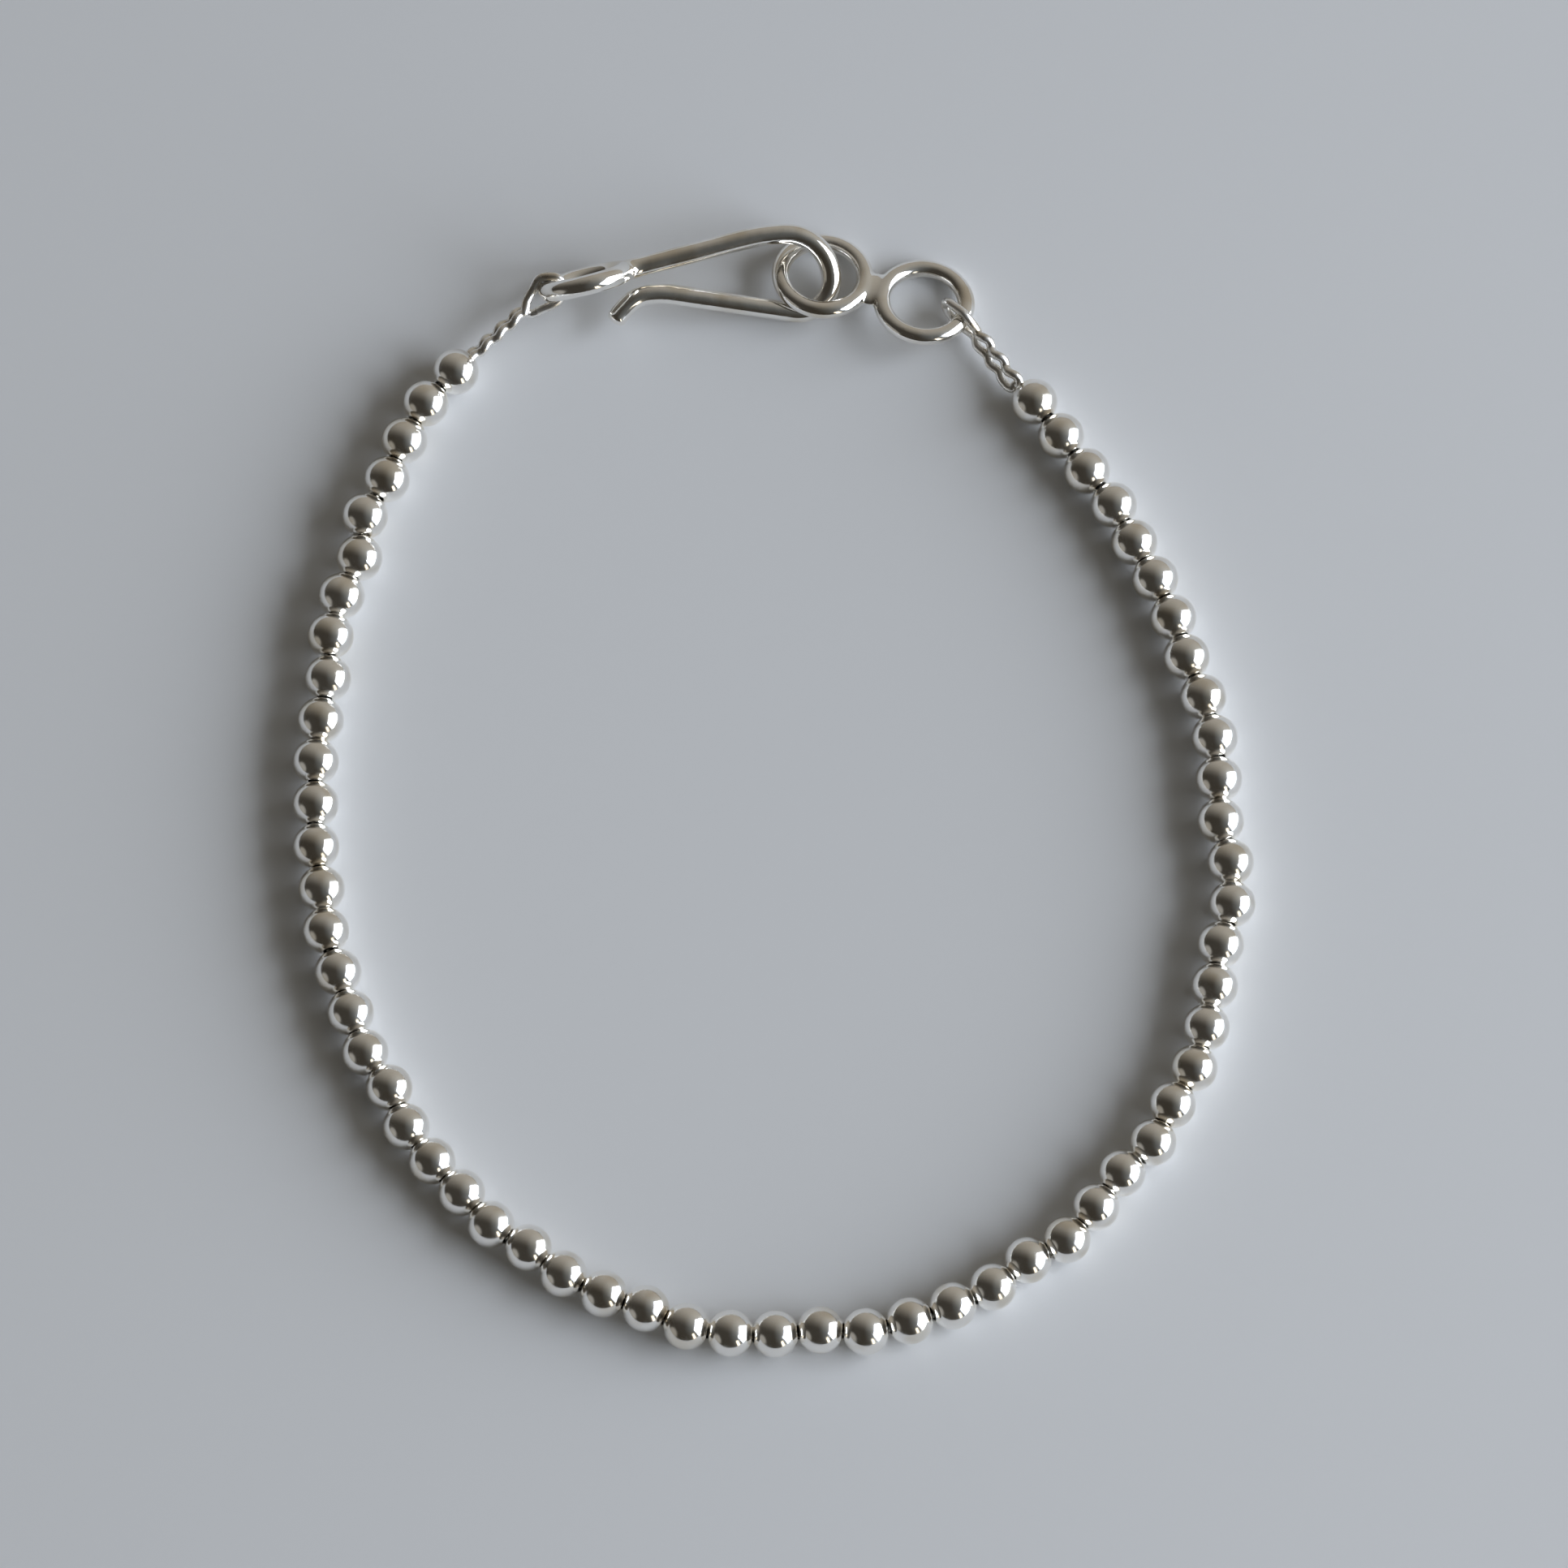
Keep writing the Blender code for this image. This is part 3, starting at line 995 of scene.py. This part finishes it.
@dataclass(frozen=True)
class Corkscrew:
    """Strand that winds round a straight axis.

    Attributes:
        start: Start of the axis.
        turns: How many times the strand goes round the axis.
        swing: Distance of the strand from the axis.
        phase: Angle at which it starts, in degrees. It is on top at 90.
        hand: Hand of its winding.
        aside: How far the winding lies to the left of its axis and above it.
        steps: Points to a turn.
    """

    start: tuple[float, float, float]
    turns: float
    swing: float
    phase: float
    hand: Hand
    aside: tuple[float, float] = (0.0, 0.0)
    steps: int = 20

    def points(self, hole: Vector) -> list[Vector]:
        """Follow the strand to the bead.

        Args:
            hole: Middle of the bead's hole, where the axis ends.

        Returns:
            Points of the strand.
        """
        start = Vector(self.start)
        axis = (hole - start).normalized()
        side = UP.cross(axis).normalized()
        lift = axis.cross(side)
        steps = round(self.turns * self.steps)
        points = []
        for step in range(steps + 1):
            share = step / steps
            angle = math.radians(self.phase) + self.hand.value * 2.0 * math.pi * self.turns * share
            sideways = self.aside[0] + self.swing * math.cos(angle)
            upwards = self.aside[1] + self.swing * math.sin(angle)
            points.append(start.lerp(hole, share) + sideways * side + upwards * lift)
        return points


@dataclass(frozen=True)
class BentStrand:
    """Slack strand that is bent by hand.

    Attributes:
        places: Places that it runs through.
        drop: How far below the middle of the hole it ends.
    """

    places: tuple[tuple[float, float, float], ...]
    drop: float = 0.0001

    def points(self, hole: Vector) -> list[Vector]:
        """Follow the strand to the bead.

        Args:
            hole: Middle of the bead's hole.

        Returns:
            Points of the strand, the last of them low in the hole.
        """
        return [*smooth_line([Vector(place) for place in self.places], steps=3), hole - self.drop * UP]


@dataclass(frozen=True)
class WireLoop:
    """Fine wire that loops round a ring and comes back to the end bead beside itself.

    Attributes:
        name: Name of the piece.
        node: The solid that it stands for.
        bight: Points of the loop round the ring, from the first strand to the second.
        first: Strand that the loop starts from.
        second: Strand that it comes back to.
        bead: Index of the end bead.
        wire: Diameter of the wire.
        depths: Depths in the bead's hole that each strand runs through.
        gather: Share of its distance from the hole's middle that a strand keeps there.
    """

    name: str
    node: str
    bight: tuple[tuple[float, float, float], ...]
    first: Corkscrew
    second: Corkscrew | BentStrand
    bead: int
    wire: float = 0.0005
    depths: tuple[float, float] = (0.0002, 0.0007)
    gather: float = 0.5

    @property
    def root(self) -> Vector:
        """Where the first strand starts."""
        return Vector(self.first.start)

    def strand(self, strand: Corkscrew | BentStrand, beads: BeadString) -> list[Vector]:
        """Follow a strand from its start into the bead.

        Args:
            strand: The strand.
            beads: The beads on the string.

        Returns:
            Points of the strand.
        """
        place = beads.places[self.bead]
        outward = beads.headings[self.bead]
        if outward.dot(self.root - place) < 0.0:
            outward = -outward
        hole = place + beads.half_length() * outward
        points = strand.points(hole)
        last = points[-1] - hole
        inside = self.gather * (last - last.dot(outward) * outward)
        return [*points, *(hole - depth * outward + inside for depth in self.depths)]

    def build(self, beads: BeadString, held: Ring) -> None:
        """Make the loop.

        Args:
            beads: The beads on the string, which the wire runs into.
            held: The ring that it holds.
        """
        least = (held.wire + self.wire) / 2.0
        bight = [held.clear_of(Vector(point), least) for point in self.bight]
        first = self.strand(self.first, beads)
        second = self.strand(self.second, beads)
        line = smooth_line([*reversed(first), *bight, *second], steps=3)
        dress(drawn_wire(self.name, line, self.wire), LOOP_FINISH, "loop_silver", self.node)


HOOK_LOOP = WireLoop(
    name="hook_end_loop",
    node="hook_end_wire_loop",
    bight=(
        (-0.01323, 0.02714, 0.00218), (-0.01287, 0.02772, 0.00240), (-0.01243, 0.02816, 0.00262),
        (-0.01194, 0.02834, 0.00282), (-0.01150, 0.02825, 0.00282), (-0.01128, 0.02799, 0.00254),
        (-0.01128, 0.02762, 0.00225), (-0.01151, 0.02730, 0.00208), (-0.01187, 0.02705, 0.00198),
        (-0.01244, 0.02684, 0.00180), (-0.01295, 0.02664, 0.00168),
    ),
    first=Corkscrew((-0.01342, 0.02667, 0.00195), 3.5, 0.00006, 290.0, Hand.LEFT, (0.00013, 0.00020)),
    second=Corkscrew((-0.01342, 0.02667, 0.00195), 3.5, 0.0001, 290.0, Hand.LEFT, (-0.00017, -0.00020)),
    bead=0,
)
RING_LOOP = WireLoop(
    name="ring_end_loop",
    node="ring_end_wire_loop",
    bight=(
        (0.01076, 0.02612, 0.00170), (0.01037, 0.02651, 0.00186), (0.00998, 0.02695, 0.00184),
        (0.00960, 0.02732, 0.00158), (0.00946, 0.02740, 0.00112), (0.00958, 0.02718, 0.00066),
        (0.00991, 0.02680, 0.00042), (0.01030, 0.02640, 0.00040),
    ),
    first=Corkscrew((0.01121, 0.02577, 0.00135), 3.05, 0.00011, 250.0, Hand.LEFT),
    second=BentStrand((
        (0.01066, 0.02604, 0.00060), (0.01103, 0.02562, 0.00080), (0.01116, 0.02508, 0.00085),
        (0.01156, 0.02466, 0.00090), (0.01173, 0.02447, 0.00085), (0.01186, 0.02405, 0.00080),
        (0.01230, 0.02370, 0.00075), (0.01252, 0.02315, 0.00070), (0.01299, 0.02265, 0.00080),
        (0.01326, 0.02283, 0.00100),
    )),
    bead=-1,
)


# Studio


@dataclass(frozen=True)
class RoomPatch:
    """Soft patch of light on the room's walls.

    Attributes:
        toward: Direction of its middle.
        edge: Cosine of the angle from the middle at which it starts.
        full: Cosine of the angle at which it is at its brightest.
        colour: Its colour there.
    """

    toward: tuple[float, float, float]
    edge: float
    full: float
    colour: tuple[float, float, float]

    def add(
        self, tree: bpy.types.NodeTree, direction: bpy.types.NodeSocket, room: bpy.types.NodeSocket
    ) -> bpy.types.NodeSocket:
        """Add the patch to the room's colour.

        Args:
            tree: The world's nodes.
            direction: Output that gives the direction looked in.
            room: Output that gives the room's colour so far.

        Returns:
            Output that gives the room's colour with the patch.
        """
        angle = tree.nodes.new("ShaderNodeVectorMath")
        angle.operation = "DOT_PRODUCT"
        angle.inputs[1].default_value = Vector(self.toward).normalized()
        tree.links.new(direction, angle.inputs[0])
        mix = tree.nodes.new("ShaderNodeMix")
        mix.data_type = "RGBA"
        mix.blend_type = "ADD"
        mix.inputs["B"].default_value = (*self.colour, 1.0)
        tree.links.new(soft_step(tree, angle.outputs["Value"], self.edge, self.full), mix.inputs["Factor"])
        tree.links.new(room, mix.inputs["A"])
        return mix.outputs["Result"]


# The wall behind the clasp, the haze of light round the window, and the pale patch low at the left
ROOM_PATCHES = (
    RoomPatch((0.47, 0.88, 0.0), -0.35, 1.15, (0.31, 0.29, 0.255)),
    RoomPatch((0.86, -0.08, 0.50), 0.30, 0.95, (0.07, 0.08, 0.085)),
    RoomPatch((-0.87, -0.43, 0.12), 0.90, 0.98, (0.25, 0.245, 0.23)),
)


@dataclass
class Studio:
    """Pale floor, soft light and the camera.

    Attributes:
        floor: Width of the floor.
        floor_tone: Colour of the floor.
        window: Distance of the large light.
        window_shift: Its place along Y.
        window_size: Its width and height.
        window_power: Its power.
        window_colour: Its colour.
        warm_turn: Direction of the small warm light from the bracelet, in degrees from +X.
        warm_distance: Its distance.
        warm_height: Its height.
        warm_size: Its width and height.
        warm_power: Its power.
        warm_colour: Its colour.
        dimness: Colour of the room where no light falls.
        backdrop: Colour behind the floor, as the camera sees it.
        view_middle: Place that the camera looks at.
        view_angle: Angle of the camera off the vertical, in degrees.
        view_distance: Distance of the camera from that place.
        lens: Its focal length, in millimetres.
        sensor: Width of its sensor, in millimetres.
    """

    floor: float = 4.0
    floor_tone: tuple[float, float, float] = (0.68, 0.68, 0.675)
    window: float = 0.8
    window_shift: float = -0.14
    window_size: tuple[float, float] = (1.00, 0.84)
    window_power: float = 15.4
    window_colour: tuple[float, float, float] = (0.92, 1.0, 1.13)
    warm_turn: float = -57.0
    warm_distance: float = 0.8
    warm_height: float = 0.23
    warm_size: tuple[float, float] = (0.14, 0.42)
    warm_power: float = 0.38
    warm_colour: tuple[float, float, float] = (1.0, 0.92, 0.76)
    dimness: tuple[float, float, float] = (0.041, 0.037, 0.031)
    backdrop: tuple[float, float, float] = (0.42, 0.42, 0.43)
    view_middle: tuple[float, float, float] = (0.0007, 0.0004, 0.0)
    view_angle: float = 18.0
    view_distance: float = 0.6
    lens: float = 257.14
    sensor: float = 36.0

    def lay_floor(self) -> None:
        """Lay the plain floor under the bracelet."""
        deselect()
        bpy.ops.mesh.primitive_plane_add(size=self.floor, location=(0.0, 0.0, 0.0))
        floor = bpy.context.object
        floor.name = "floor"
        pale = bpy.data.materials.new("pale_floor")
        pale.use_nodes = True
        shader = pale.node_tree.nodes["Principled BSDF"]
        shader.inputs["Base Color"].default_value = (*self.floor_tone, 1.0)
        shader.inputs["Roughness"].default_value = 0.95
        shader.inputs["Specular IOR Level"].default_value = 0.1
        floor.data.materials.append(pale)

    def hang_light(
        self,
        name: str,
        place: Vector,
        facing: Vector,
        size: tuple[float, float],
        power: float,
        colour: tuple[float, float, float],
    ) -> None:
        """Hang one upright flat light.

        Args:
            name: Name of the light.
            place: Its middle.
            facing: Direction of its back.
            size: Its width and height.
            power: Its power.
            colour: Its colour.
        """
        deselect()
        turn = facing.to_track_quat("Z", "Y").to_euler()
        bpy.ops.object.light_add(type="AREA", location=place, rotation=turn)
        light = bpy.context.object
        light.name = name
        light.data.shape = "RECTANGLE"
        light.data.size, light.data.size_y = size
        light.data.energy = power
        light.data.color = colour

    def light(self) -> None:
        """Hang the large window light at the right and the small warm one before it."""
        width, height = self.window_size
        self.hang_light(
            "window_light", Vector((self.window, self.window_shift, height / 2.0)), Vector((1.0, 0.0, 0.0)),
            (width, height), self.window_power, self.window_colour,
        )
        way = ahead(math.radians(self.warm_turn))
        self.hang_light(
            "warm_light", self.warm_distance * way + self.warm_height * UP, way,
            self.warm_size, self.warm_power, self.warm_colour,
        )

    def surround(self) -> None:
        """Light the room round the bracelet with its dim base colour and its patches."""
        world = bpy.data.worlds.new("studio")
        bpy.context.scene.world = world
        world.use_nodes = True
        tree = world.node_tree
        place = tree.nodes.new("ShaderNodeTexCoord")
        base = tree.nodes.new("ShaderNodeRGB")
        base.outputs["Color"].default_value = (*self.dimness, 1.0)
        room = base.outputs["Color"]
        for patch in ROOM_PATCHES:
            room = patch.add(tree, place.outputs["Generated"], room)
        plain = tree.nodes.new("ShaderNodeMix")
        plain.data_type = "RGBA"
        plain.inputs["B"].default_value = (*self.backdrop, 1.0)
        path = tree.nodes.new("ShaderNodeLightPath")
        tree.links.new(path.outputs["Is Camera Ray"], plain.inputs["Factor"])
        tree.links.new(room, plain.inputs["A"])
        tree.links.new(plain.outputs["Result"], tree.nodes["Background"].inputs["Color"])

    def set_camera(self) -> None:
        """Set the camera on the -Y side, at the angle off the vertical that was taken for the photograph."""
        deselect()
        angle = math.radians(self.view_angle)
        back = self.view_distance * Vector((0.0, -math.sin(angle), math.cos(angle)))
        place = Vector(self.view_middle) + back
        bpy.ops.object.camera_add(location=place, rotation=(angle, 0.0, 0.0))
        camera = bpy.context.object
        camera.data.sensor_width = self.sensor
        camera.data.lens = self.lens
        camera.data.clip_start = 0.01
        camera.data.clip_end = 20.0
        bpy.context.scene.camera = camera

    def build(self) -> None:
        """Set up the whole studio."""
        self.lay_floor()
        self.light()
        self.surround()
        self.set_camera()
        bpy.context.scene.view_settings.view_transform = "Standard"


def main() -> None:
    """Build every piece of the bracelet and the studio round it."""
    logging.basicConfig(level=logging.INFO, format="%(message)s")
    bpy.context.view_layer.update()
    Studio().build()
    beads = BeadString()
    beads.build()
    hook = HookClasp()
    eye = hook.build()
    second_ring = FigureEight().build(hook)
    HOOK_LOOP.build(beads, eye)
    RING_LOOP.build(beads, second_ring)


if __name__ == "__main__":
    main()
